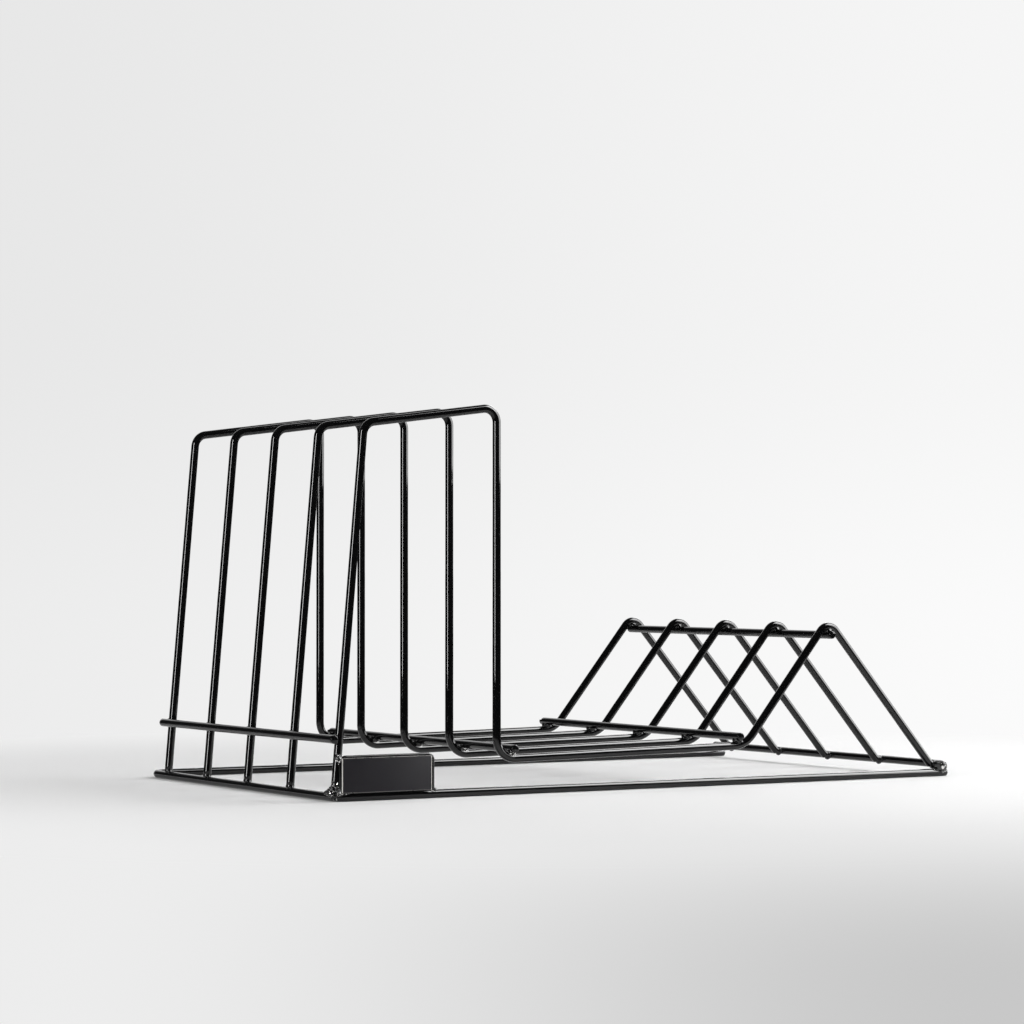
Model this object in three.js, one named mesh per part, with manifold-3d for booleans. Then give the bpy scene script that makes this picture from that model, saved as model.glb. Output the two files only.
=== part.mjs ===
// Display rack for padel rackets: a welded frame of round, coated steel wire.
// Five bent wires stand side by side and leave four slots, one for each racket.
// Each wire makes a tall hoop for the head, a low tray and a peak that carries the handle.
// Millimetres, +Z up. X runs along the rack from the hoops to the peaks, Y runs across it
// from front to back, and the origin lies on the floor under the middle of the base.

import * as THREE from "three";
import { mergeVertices } from "three/addons/utils/BufferGeometryUtils.js";
import Module from "manifold-3d";

// Wire stock and the room left where two pieces meet
const WIRE_DIAMETER = 4;
const SEAT_GAP = 0.3;

// Slots and the row of bent wires
const SLOT_COUNT = 4;
const SLOT_WIDTH = 41;
const FRONT_MARGIN = 2.5;
const BACK_MARGIN = 17.5;

// Base: a wire bent into a U that opens to the right, closed by a rod laid on its ends
const BASE_LENGTH = 350;
const BASE_BEND_RADIUS = 5;
const BASE_END_OVERHANG = 4.5;
const BASE_ROD_OVERHANG = 2;

// Hoop that holds a racket's head upright, measured on the wire's centre line
const HOOP_HEIGHT = 174.5;
const HOOP_TOP_CLIMB = 9;
const HOOP_TOP_WIDTH = 71.5;
const HOOP_LEG_LEAN = 15;
const HOOP_BEND_RADIUS = 6.5;

// Tray that a racket's head rests on, and how far round into its two bends the rods lie
const TRAY_HEIGHT = 16.7;
const TRAY_ANGLE = 1;
const TRAY_LEFT_BEND_RADIUS = 10;
const TRAY_RIGHT_BEND_RADIUS = 15;
const TRAY_LEFT_ROD_TURN = 20;
const TRAY_RIGHT_ROD_TURN = 10;

// Peak that carries a racket's handle
const PEAK_HEIGHT = 81;
const PEAK_RISE_ANGLE = 50.5;
const PEAK_FALL_ANGLE = 49;
const PEAK_BEND_RADIUS = 6;
const PEAK_END_LAP = 1;

// Rods that tie the bent wires together
const FENCE_HEIGHT = 28.4;
const ROD_FRONT_OVERHANG = 4;
const ROD_BACK_OVERHANG = 2.5;

// Thin wire frame beside the front corner, and the small bare plate on its front
const FRAME_WIRE_DIAMETER = 2;
const FRAME_WIDTH = 50.2;
const FRAME_HEIGHT = 17.3;
const FRAME_INNER_RADIUS = 1.4;
const PLATE_THICKNESS = 1.2;
const PLATE_CHAMFER = 0.3;
const PLATE_CORNER_RADIUS = 1;
const PLATE_LIFT = 0.5;

// How far the plate's edges stand from the centre line of the frame's wire
const PLATE_LEFT_LAP = 0.6;
const PLATE_TOP_LAP = 0.4;
const PLATE_RIGHT_INSET = 1.5;

// Weld beads: how far each reaches past the side of the wire that it holds
const BEAD_TOE = 0.7;
const CORNER_FILLET_TOE = 2.6;
const CORNER_FILLET_HEIGHT = 5;
const CORNER_DOME_TOE = 1.5;

// How finely round things are divided
const WIRE_SIDES = 12;
const THIN_SIDES = 8;
const BEAD_RINGS = 6;
const BEND_STEP_ANGLE = 18;
const PLATE_CORNER_STEPS = 3;

// Sizes that follow from the ones above
const WIRE_RADIUS = WIRE_DIAMETER / 2;
const FRAME_WIRE_RADIUS = FRAME_WIRE_DIAMETER / 2;
const SEAT = WIRE_DIAMETER + SEAT_GAP;
const PROFILE_COUNT = SLOT_COUNT + 1;
const PROFILE_PITCH = SLOT_WIDTH + WIRE_DIAMETER;
const BASE_DEPTH = FRONT_MARGIN + SLOT_COUNT * PROFILE_PITCH + BACK_MARGIN;
const LEFT_X = -BASE_LENGTH / 2;
const RIGHT_X = BASE_LENGTH / 2;
const FRONT_Y = -BASE_DEPTH / 2;
const BACK_Y = BASE_DEPTH / 2;
const BASE_Z = WIRE_RADIUS;
const BASE_ROD_Z = BASE_Z + SEAT;
const BASE_TOP_SEAT = BASE_Z + WIRE_RADIUS + SEAT_GAP;
const BEAD_REACH = WIRE_RADIUS + BEAD_TOE;
const FRAME_BEAD_REACH = FRAME_WIRE_RADIUS + BEAD_TOE;

// A bend's facets bring its inner side nearer to its centre, to this share of the true distance
const BEND_FACET_SHARE = Math.cos(THREE.MathUtils.degToRad(BEND_STEP_ANGLE / 2));

// Finishes
const glossCoat = { color: 0x0b0b0c, roughness: 0.22, metalness: 0 };
const satinCoat = { color: 0x242327, roughness: 0.5, metalness: 0 };

const alongY = new THREE.Vector3(0, 1, 0);
const alongZ = new THREE.Vector3(0, 0, 1);
const level = new THREE.Vector2(1, 0);

const wasm = await Module();
wasm.setup();

const rack = new THREE.Group();
rack.name = "racket_display_stand";

// Each wire's own room, a little wider and longer than the wire, that a weld bead keeps out of
const rooms = {};

// A wire's centre line: straight runs joined by round bends, all in one plane.
// Its rings stand only at the ends of the runs and along the bends.
class BentWirePath extends THREE.Curve {
  constructor(corners, planeNormal) {
    super();
    this.planeNormal = planeNormal;
    this.rings = [];
    corners.forEach((corner, i) => this.addCorner(corner, corners[i - 1], corners[i + 1]));
  }

  addCorner(corner, before, after) {
    const into = before && direction(before.point, corner.point);
    const outOf = after && direction(corner.point, after.point);
    if (into && outOf) this.addBend(corner.point, corner.radius, into, outOf);
    else this.addRing(corner.point, into ?? outOf);
  }

  addRing(point, tangent) {
    this.rings.push({ point: point.clone(), tangent: tangent.clone() });
  }

  addBend(corner, radius, into, outOf) {
    const turn = into.angleTo(outOf);
    const axis = new THREE.Vector3().crossVectors(into, outOf).normalize();
    const start = corner.clone().addScaledVector(into, -setback(radius, turn));
    const centre = start.clone().addScaledVector(new THREE.Vector3().crossVectors(axis, into), radius);
    const steps = Math.ceil(THREE.MathUtils.radToDeg(turn) / BEND_STEP_ANGLE);
    for (let i = 0; i <= steps; i++) {
      const angle = (turn * i) / steps;
      const point = start.clone().sub(centre).applyAxisAngle(axis, angle).add(centre);
      this.addRing(point, into.clone().applyAxisAngle(axis, angle));
    }
  }

  getPoint(t, target = new THREE.Vector3()) {
    const place = t * (this.rings.length - 1);
    const i = Math.min(Math.floor(place), this.rings.length - 2);
    return target.lerpVectors(this.rings[i].point, this.rings[i + 1].point, place - i);
  }

  getSpacedPoints() {
    return this.rings.map((ring) => ring.point);
  }

  computeFrenetFrames() {
    const tangents = this.rings.map((ring) => ring.tangent);
    const binormals = this.rings.map(() => this.planeNormal.clone());
    const normals = tangents.map((tangent) => new THREE.Vector3().crossVectors(this.planeNormal, tangent));
    return { tangents, normals, binormals };
  }
}

function direction(from, to) {
  return new THREE.Vector3().subVectors(to, from).normalize();
}

// How far before a corner its bend begins
function setback(radius, turn) {
  return radius * Math.tan(turn / 2);
}

function turned(along, degrees) {
  return along.clone().rotateAround(new THREE.Vector2(), THREE.MathUtils.degToRad(degrees));
}

// A direction in the plane of a bent wire, turned up from level
function slope(degrees) {
  return turned(level, degrees);
}

// The same direction turned a quarter turn to its left
function leftOf(along) {
  return new THREE.Vector2(-along.y, along.x);
}

// Regular outline whose flat sides lie at the wire's radius, so that wires meet flat to flat
function wireSection(radius, sides) {
  const cornerRadius = radius / Math.cos(Math.PI / sides);
  const points = [];
  for (let i = 0; i < sides; i++) {
    const angle = (2 * Math.PI * i + Math.PI) / sides;
    points.push(new THREE.Vector2(Math.cos(angle), Math.sin(angle)).multiplyScalar(cornerRadius));
  }
  return new THREE.Shape(points);
}

function sweepWire(corners, planeNormal, radius, sides) {
  const extrudePath = new BentWirePath(corners, planeNormal);
  const steps = extrudePath.rings.length - 1;
  return new THREE.ExtrudeGeometry(wireSection(radius, sides), { steps, extrudePath });
}

// The same corners with both ends drawn out
function lengthened(corners, extra) {
  const longer = corners.map((corner) => ({ ...corner, point: corner.point.clone() }));
  const first = longer[0].point;
  const last = longer[longer.length - 1].point;
  first.addScaledVector(direction(longer[1].point, first), extra);
  last.addScaledVector(direction(longer[longer.length - 2].point, last), extra);
  return longer;
}

function solidOf(geometry) {
  const plain = geometry.clone();
  plain.deleteAttribute("normal");
  plain.deleteAttribute("uv");
  const merged = mergeVertices(plain);
  const vertProperties = new Float32Array(merged.attributes.position.array);
  const triVerts = new Uint32Array(merged.index.array);
  return new wasm.Manifold(new wasm.Mesh({ numProp: 3, vertProperties, triVerts }));
}

function geometryOf(solid) {
  const mesh = solid.getMesh();
  const geometry = new THREE.BufferGeometry();
  geometry.setAttribute("position", new THREE.BufferAttribute(mesh.vertProperties, 3));
  geometry.setIndex(new THREE.BufferAttribute(mesh.triVerts, 1));
  geometry.computeVertexNormals();
  return geometry;
}

function addPiece(name, geometry, finish) {
  const mesh = new THREE.Mesh(geometry, new THREE.MeshStandardMaterial(finish));
  mesh.name = name;
  rack.add(mesh);
}

function addWire(name, corners, planeNormal, radius = WIRE_RADIUS, sides = WIRE_SIDES) {
  addPiece(name, sweepWire(corners, planeNormal, radius, sides), glossCoat);
  const longer = lengthened(corners, SEAT_GAP);
  rooms[name] = solidOf(sweepWire(longer, planeNormal, radius + SEAT_GAP, THIN_SIDES));
}

// Where each bent wire stands, counted from the front
function profileY(i) {
  return FRONT_Y + FRONT_MARGIN + i * PROFILE_PITCH;
}

function inPlane(point, y) {
  return new THREE.Vector3(point.x, y, point.y);
}

function crossing(pointA, alongA, pointB, alongB) {
  const between = pointB.clone().sub(pointA);
  return pointA.clone().addScaledVector(alongA, between.cross(alongB) / alongA.cross(alongB));
}

// The falling run stops where the side of its cut end laps the base's right rod
function fallEnd(fall) {
  const offset = WIRE_DIAMETER - PEAK_END_LAP;
  const overlap = offset - WIRE_RADIUS;
  const reach = WIRE_RADIUS + SEAT_GAP;
  const back = Math.sqrt(reach * reach - overlap * overlap);
  const rod = new THREE.Vector2(RIGHT_X, BASE_ROD_Z);
  return rod.addScaledVector(leftOf(fall), -offset).addScaledVector(fall, -back);
}

// The corners of one bent wire, seen from the front
function profileOutline() {
  const tray = slope(TRAY_ANGLE);
  const rise = slope(PEAK_RISE_ANGLE);
  const fall = slope(-PEAK_FALL_ANGLE);
  const foot = new THREE.Vector2(LEFT_X, BASE_TOP_SEAT);
  const topLeft = new THREE.Vector2(LEFT_X + HOOP_LEG_LEAN, HOOP_HEIGHT);
  const topRight = new THREE.Vector2(topLeft.x + HOOP_TOP_WIDTH, topLeft.y + HOOP_TOP_CLIMB);
  const trayLeft = new THREE.Vector2(topRight.x, TRAY_HEIGHT);
  const end = fallEnd(fall);
  const peak = crossing(end, fall, new THREE.Vector2(0, PEAK_HEIGHT), level);
  const trayRight = crossing(trayLeft, tray, peak, rise);
  const leg = topLeft.clone().sub(foot).normalize();
  return { foot, topLeft, topRight, trayLeft, trayRight, peak, end, leg, tray, rise, fall };
}

const outline = profileOutline();

function legX(z) {
  return outline.foot.x + ((z - outline.foot.y) * outline.leg.x) / outline.leg.y;
}

// The point outside a hoop's left leg where the fence rod lies
function fencePlace() {
  const beside = new THREE.Vector2(legX(FENCE_HEIGHT), FENCE_HEIGHT);
  return beside.addScaledVector(leftOf(outline.leg), SEAT);
}

// Where a rod lies inside a bend of the tray, and the point between them where it is welded
function traySeat(corner, radius, turn, side, rodTurn) {
  const up = leftOf(outline.tray);
  const bendEnd = corner.clone().addScaledVector(outline.tray, side * setback(radius, turn));
  const centre = bendEnd.addScaledVector(up, radius);
  const outward = turned(up.negate(), -side * rodTurn);
  const reach = (radius - WIRE_RADIUS) * BEND_FACET_SHARE - SEAT_GAP - WIRE_RADIUS;
  const rod = centre.clone().addScaledVector(outward, reach);
  return { rod, weld: rod.clone().addScaledVector(outward, SEAT / 2) };
}

function trayLeftSeat() {
  const turn = new THREE.Vector2(0, -1).angleTo(outline.tray);
  return traySeat(outline.trayLeft, TRAY_LEFT_BEND_RADIUS, turn, 1, TRAY_LEFT_ROD_TURN);
}

function trayRightSeat() {
  const turn = outline.tray.angleTo(outline.rise);
  return traySeat(outline.trayRight, TRAY_RIGHT_BEND_RADIUS, turn, -1, TRAY_RIGHT_ROD_TURN);
}

// The point inside the peak where a rod lies against the bend, or in a tight bend against both runs
function peakPlace() {
  const narrowing = Math.cos(outline.rise.angleTo(outline.fall) / 2);
  const depth = Math.max(PEAK_BEND_RADIUS / narrowing - PEAK_BEND_RADIUS + SEAT, SEAT / narrowing);
  const inward = outline.fall.clone().sub(outline.rise).normalize();
  return outline.peak.clone().addScaledVector(inward, depth);
}

function addBaseWire() {
  const endX = RIGHT_X + BASE_END_OVERHANG;
  const corners = [
    { point: new THREE.Vector3(endX, BACK_Y, BASE_Z) },
    { point: new THREE.Vector3(LEFT_X, BACK_Y, BASE_Z), radius: BASE_BEND_RADIUS },
    { point: new THREE.Vector3(LEFT_X, FRONT_Y, BASE_Z), radius: BASE_BEND_RADIUS },
    { point: new THREE.Vector3(endX, FRONT_Y, BASE_Z) },
  ];
  addWire("base_wire", corners, alongZ);
}

function addProfileWire(i) {
  const y = profileY(i);
  const corners = [
    { point: inPlane(outline.foot, y) },
    { point: inPlane(outline.topLeft, y), radius: HOOP_BEND_RADIUS },
    { point: inPlane(outline.topRight, y), radius: HOOP_BEND_RADIUS },
    { point: inPlane(outline.trayLeft, y), radius: TRAY_LEFT_BEND_RADIUS },
    { point: inPlane(outline.trayRight, y), radius: TRAY_RIGHT_BEND_RADIUS },
    { point: inPlane(outline.peak, y), radius: PEAK_BEND_RADIUS },
    { point: inPlane(outline.end, y) },
  ];
  addWire(`profile_wire_${i + 1}`, corners, alongY);
}

// A straight rod across the rack
function addCrossRod(name, place, frontEnd, backEnd) {
  addWire(name, [{ point: inPlane(place, frontEnd) }, { point: inPlane(place, backEnd) }], alongZ);
}

function addCrossRods() {
  const front = profileY(0) - ROD_FRONT_OVERHANG;
  const back = profileY(SLOT_COUNT) + ROD_BACK_OVERHANG;
  addCrossRod("fence_rod", fencePlace(), front, back);
  addCrossRod("tray_left_rod", trayLeftSeat().rod, front, back);
  addCrossRod("tray_right_rod", trayRightSeat().rod, front, back);
  addCrossRod("peak_rod", peakPlace(), front, back);
}

function addBaseRightRod() {
  const place = new THREE.Vector2(RIGHT_X, BASE_ROD_Z);
  addCrossRod("base_right_rod", place, FRONT_Y - BASE_ROD_OVERHANG, BACK_Y + BASE_ROD_OVERHANG);
}

// The thin frame stands on the base's front run, with one upright in front of the front hoop's left leg
function frameEdges() {
  const y = profileY(0) - WIRE_RADIUS - SEAT_GAP - FRAME_WIRE_RADIUS;
  const top = WIRE_DIAMETER + FRAME_HEIGHT - FRAME_WIRE_RADIUS;
  const left = legX(top);
  return { left, right: left + FRAME_WIDTH - FRAME_WIRE_DIAMETER, bottom: BASE_TOP_SEAT, top, y };
}

const frame = frameEdges();

function addPlateFrame() {
  const radius = FRAME_INNER_RADIUS + FRAME_WIRE_RADIUS;
  const corners = [
    { point: new THREE.Vector3(frame.left, frame.y, frame.bottom) },
    { point: new THREE.Vector3(frame.left, frame.y, frame.top), radius },
    { point: new THREE.Vector3(frame.right, frame.y, frame.top), radius },
    { point: new THREE.Vector3(frame.right, frame.y, frame.bottom) },
  ];
  addWire("plate_frame_wire", corners, alongY, FRAME_WIRE_RADIUS, THIN_SIDES);
}

// The plate's outline has round corners, and its lower edge is just above the base's front run
function plateShape() {
  const left = frame.left - PLATE_LEFT_LAP;
  const right = frame.right - PLATE_RIGHT_INSET;
  const bottom = WIRE_DIAMETER + PLATE_LIFT;
  const top = frame.top + PLATE_TOP_LAP;
  const round = PLATE_CORNER_RADIUS;
  const shape = new THREE.Shape();
  shape.absarc(right - round, bottom + round, round, -Math.PI / 2, 0);
  shape.absarc(right - round, top - round, round, 0, Math.PI / 2);
  shape.absarc(left + round, top - round, round, Math.PI / 2, Math.PI);
  shape.absarc(left + round, bottom + round, round, Math.PI, (Math.PI * 3) / 2);
  return shape;
}

// The plate lies on the front of the frame, with a small chamfer all round
function addFrontPlate() {
  const options = {
    depth: PLATE_THICKNESS - 2 * PLATE_CHAMFER,
    bevelThickness: PLATE_CHAMFER,
    bevelSize: PLATE_CHAMFER,
    bevelOffset: -PLATE_CHAMFER,
    bevelSegments: 1,
    curveSegments: PLATE_CORNER_STEPS,
  };
  const plate = new THREE.ExtrudeGeometry(plateShape(), options).rotateX(Math.PI / 2);
  const back = frame.y - FRAME_WIRE_RADIUS - SEAT_GAP;
  addPiece("front_plate", plate.translate(0, back - PLATE_CHAMFER, 0), satinCoat);
}

// Weld metal keeps out of the room of each wire that it joins
function addWeld(name, metal, wires) {
  const solid = wires.reduce((rest, wire) => rest.subtract(rooms[wire]), solidOf(metal));
  addPiece(name, geometryOf(solid), glossCoat);
}

// A rounded lump of weld metal, given by its middle and its half sizes
function addBead(name, middle, halfX, halfY, halfZ, wires) {
  const lump = new THREE.SphereGeometry(1, THIN_SIDES, BEAD_RINGS);
  lump.scale(halfX, halfY, halfZ).translate(middle.x, middle.y, middle.z);
  addWeld(name, lump, wires);
}

// Welds where the cross rods lie against one bent wire
function addRodWelds(i) {
  const y = profileY(i);
  const wire = `profile_wire_${i + 1}`;
  const fence = inPlane(fencePlace().addScaledVector(leftOf(outline.leg), -SEAT / 2), y);
  const trayLeft = inPlane(trayLeftSeat().weld, y);
  const trayRight = inPlane(trayRightSeat().weld, y);
  const outward = outline.rise.clone().sub(outline.fall).normalize();
  const peak = inPlane(peakPlace().addScaledVector(outward, SEAT / 2), y);
  const reach = BEAD_REACH;
  addBead(`weld_fence_${i + 1}`, fence, WIRE_RADIUS, reach, reach, [wire, "fence_rod"]);
  addBead(`weld_tray_left_${i + 1}`, trayLeft, reach, reach, WIRE_RADIUS, [wire, "tray_left_rod"]);
  addBead(`weld_tray_right_${i + 1}`, trayRight, reach, reach, WIRE_RADIUS, [wire, "tray_right_rod"]);
  addBead(`weld_peak_${i + 1}`, peak, reach, reach, WIRE_RADIUS, [wire, "peak_rod"]);
}

// Welds at the two cut ends of one bent wire
function addEndWelds(i) {
  const y = profileY(i);
  const wire = `profile_wire_${i + 1}`;
  const rod = new THREE.Vector2(RIGHT_X, BASE_ROD_Z);
  const right = inPlane(outline.end.clone().lerp(rod, 1 / 2), y);
  const joined = [wire, "base_right_rod", "base_wire"];
  addBead(`weld_right_${i + 1}`, right, BEAD_REACH, BEAD_REACH, BEAD_REACH, joined);
  const foot = inPlane(outline.foot, y);
  if (i === 0) addCornerFillet(wire, foot);
  else addBead(`weld_foot_${i + 1}`, foot, BEAD_REACH, BEAD_REACH, BEAD_REACH, [wire, "base_wire"]);
}

// The front hoop's foot stands on the base's corner in a tall fillet of weld metal.
// The cone is taller than the fillet, because the wire's own room hides its tip.
function addCornerFillet(wire, foot) {
  const radius = WIRE_RADIUS + CORNER_FILLET_TOE;
  const height = (CORNER_FILLET_HEIGHT * radius) / (CORNER_FILLET_TOE - SEAT_GAP);
  const fillet = new THREE.ConeGeometry(radius, height, THIN_SIDES);
  fillet.rotateX(Math.PI / 2).translate(foot.x, foot.y, BASE_Z + height / 2);
  addWeld("weld_foot_1", fillet, [wire, "base_wire", "plate_frame_wire"]);
}

function addBaseBackWeld() {
  const middle = new THREE.Vector3(RIGHT_X, BACK_Y, BASE_Z + SEAT / 2);
  addBead("weld_base_back", middle, BEAD_REACH, BEAD_REACH, WIRE_RADIUS, ["base_wire", "base_right_rod"]);
}

// In front, a dome of weld metal covers the rod's near end, from the middle of the base wire
// up to the top of the rod, and back to the bead of the first bent wire
function addBaseFrontWeld() {
  const front = FRONT_Y - BASE_ROD_OVERHANG - CORNER_DOME_TOE;
  const back = profileY(0) - BEAD_REACH - SEAT_GAP;
  const top = BASE_ROD_Z + WIRE_RADIUS;
  const middle = new THREE.Vector3(RIGHT_X, (front + back) / 2, (BASE_Z + top) / 2);
  const halfX = WIRE_RADIUS + CORNER_DOME_TOE;
  const joined = ["base_wire", "base_right_rod"];
  addBead("weld_base_front", middle, halfX, (back - front) / 2, (top - BASE_Z) / 2, joined);
}

// The frame is tacked to the hoop's leg from the left, and its free foot to the base from the right
function addFrameWelds() {
  const reach = FRAME_BEAD_REACH;
  const tackY = frame.y + FRAME_WIRE_RADIUS;
  const tack = new THREE.Vector3(frame.left - FRAME_WIRE_RADIUS, tackY, frame.top - reach);
  const foot = new THREE.Vector3(frame.right + FRAME_WIRE_RADIUS, frame.y, frame.bottom);
  addBead("weld_frame_top", tack, reach, FRAME_WIRE_DIAMETER, reach, ["profile_wire_1", "plate_frame_wire"]);
  addBead("weld_frame_foot", foot, reach, reach, FRAME_WIRE_RADIUS, ["base_wire", "plate_frame_wire"]);
}

addBaseWire();
addBaseRightRod();
for (let i = 0; i < PROFILE_COUNT; i++) addProfileWire(i);
addCrossRods();
addPlateFrame();
addFrontPlate();
for (let i = 0; i < PROFILE_COUNT; i++) {
  addRodWelds(i);
  addEndWelds(i);
}
addBaseBackWeld();
addBaseFrontWeld();
addFrameWelds();

export default rack;
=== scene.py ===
"""Looks of a welded wire display rack: glossy black wires, weld lumps and a bare plate.

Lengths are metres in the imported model's own frame: +X from the hoops to the peaks, +Y to the back, +Z up.
"""

import logging
import math
from dataclasses import dataclass, field
from enum import Enum
from typing import Callable

import bpy
from mathutils import Matrix, Vector


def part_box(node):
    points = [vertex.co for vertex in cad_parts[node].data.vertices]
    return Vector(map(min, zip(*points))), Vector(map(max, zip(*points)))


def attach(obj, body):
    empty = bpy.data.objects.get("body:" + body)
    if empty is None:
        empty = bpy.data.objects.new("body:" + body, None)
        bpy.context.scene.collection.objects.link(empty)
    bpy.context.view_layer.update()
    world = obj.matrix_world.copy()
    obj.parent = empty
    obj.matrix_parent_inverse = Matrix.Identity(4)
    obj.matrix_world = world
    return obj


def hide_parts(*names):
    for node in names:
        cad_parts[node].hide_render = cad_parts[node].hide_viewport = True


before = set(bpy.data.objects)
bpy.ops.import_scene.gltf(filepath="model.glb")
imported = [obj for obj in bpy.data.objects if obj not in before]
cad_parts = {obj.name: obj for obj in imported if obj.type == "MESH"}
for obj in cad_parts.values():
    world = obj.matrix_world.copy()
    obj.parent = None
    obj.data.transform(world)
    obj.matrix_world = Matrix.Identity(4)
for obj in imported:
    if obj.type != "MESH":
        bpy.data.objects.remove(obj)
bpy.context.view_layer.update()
LOG = logging.getLogger("rack")

Colour = tuple[float, float, float]

UP = Vector((0, 0, 1))
WIRE_RADIUS = 0.002
FRAME_WIRE_RADIUS = 0.001
ROWS = range(1, 1 + sum(name.startswith("profile_wire_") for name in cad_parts))


class Slot(Enum):
    """Names for the rack's finishes."""

    GLOSS = "gloss_black_coat"
    WELD = "weld_black_coat"
    PLATE = "satin_black_plate"


def middle(node: str) -> Vector:
    """Returns the centre of a CAD node's box."""
    low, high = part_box(node)
    return (low + high) / 2


def deselect_all() -> None:
    """Leaves nothing selected and no edit mode open."""
    if bpy.context.mode != "OBJECT":
        bpy.ops.object.mode_set(mode="OBJECT")
    bpy.ops.object.select_all(action="DESELECT")


def only(piece: bpy.types.Object) -> bpy.types.Object:
    """Makes one object the selected and active one.

    Args:
        piece: the object to work on.

    Returns:
        The same object.
    """
    deselect_all()
    piece.select_set(True)
    bpy.context.view_layer.objects.active = piece
    return piece


def settle_transform() -> None:
    """Moves the active object's place and turn into its mesh."""
    bpy.ops.object.transform_apply(location=True, rotation=True, scale=True)


def select_edges(piece: bpy.types.Object, wanted: Callable[[Vector, Vector], bool]) -> None:
    """Selects a mesh's edges by their place, in edit mode.

    Args:
        piece: the active mesh object.
        wanted: takes the two end points of an edge and says whether it is selected.
    """
    bpy.ops.object.mode_set(mode="EDIT")
    bpy.ops.mesh.select_mode(type="EDGE")
    bpy.ops.mesh.select_all(action="DESELECT")
    bpy.ops.object.mode_set(mode="OBJECT")
    points = [vertex.co for vertex in piece.data.vertices]
    for edge in piece.data.edges:
        edge.select = wanted(points[edge.vertices[0]], points[edge.vertices[1]])
    bpy.ops.object.mode_set(mode="EDIT")


def face_outwards(merge_distance: float = 1e-6) -> None:
    """Merges the doubles of the active mesh in edit mode and turns its faces outwards.

    Args:
        merge_distance: points closer than this become one.
    """
    bpy.ops.mesh.select_all(action="SELECT")
    bpy.ops.mesh.remove_doubles(threshold=merge_distance)
    bpy.ops.mesh.normals_make_consistent(inside=False)
    bpy.ops.object.mode_set(mode="OBJECT")


def apply_modifier(piece: bpy.types.Object, kind: str, **settings: object) -> None:
    """Adds a modifier to an object and applies it.

    Args:
        piece: the mesh object to change.
        kind: the modifier's type.
        settings: values of the modifier's own properties.
    """
    only(piece)
    modifier = piece.modifiers.new(kind.lower(), kind)
    for name, value in settings.items():
        setattr(modifier, name, value)
    bpy.ops.object.modifier_apply(modifier=modifier.name)


def noise_field(name: str, grain: float) -> bpy.types.Texture:
    """Makes a cloudy noise for displacing a surface.

    Args:
        name: the texture's name.
        grain: the size of its lumps.

    Returns:
        The texture.
    """
    clouds = bpy.data.textures.new(name, "CLOUDS")
    clouds.noise_scale = grain
    clouds.noise_depth = 1
    return clouds


@dataclass(frozen=True)
class Corner:
    """A corner of a wire's centre line before it is rounded.

    Args:
        place: the corner itself.
        bend: the radius that the wire's centre line is bent to there, or 0 at an end.
    """

    place: Vector
    bend: float = 0.0


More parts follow.
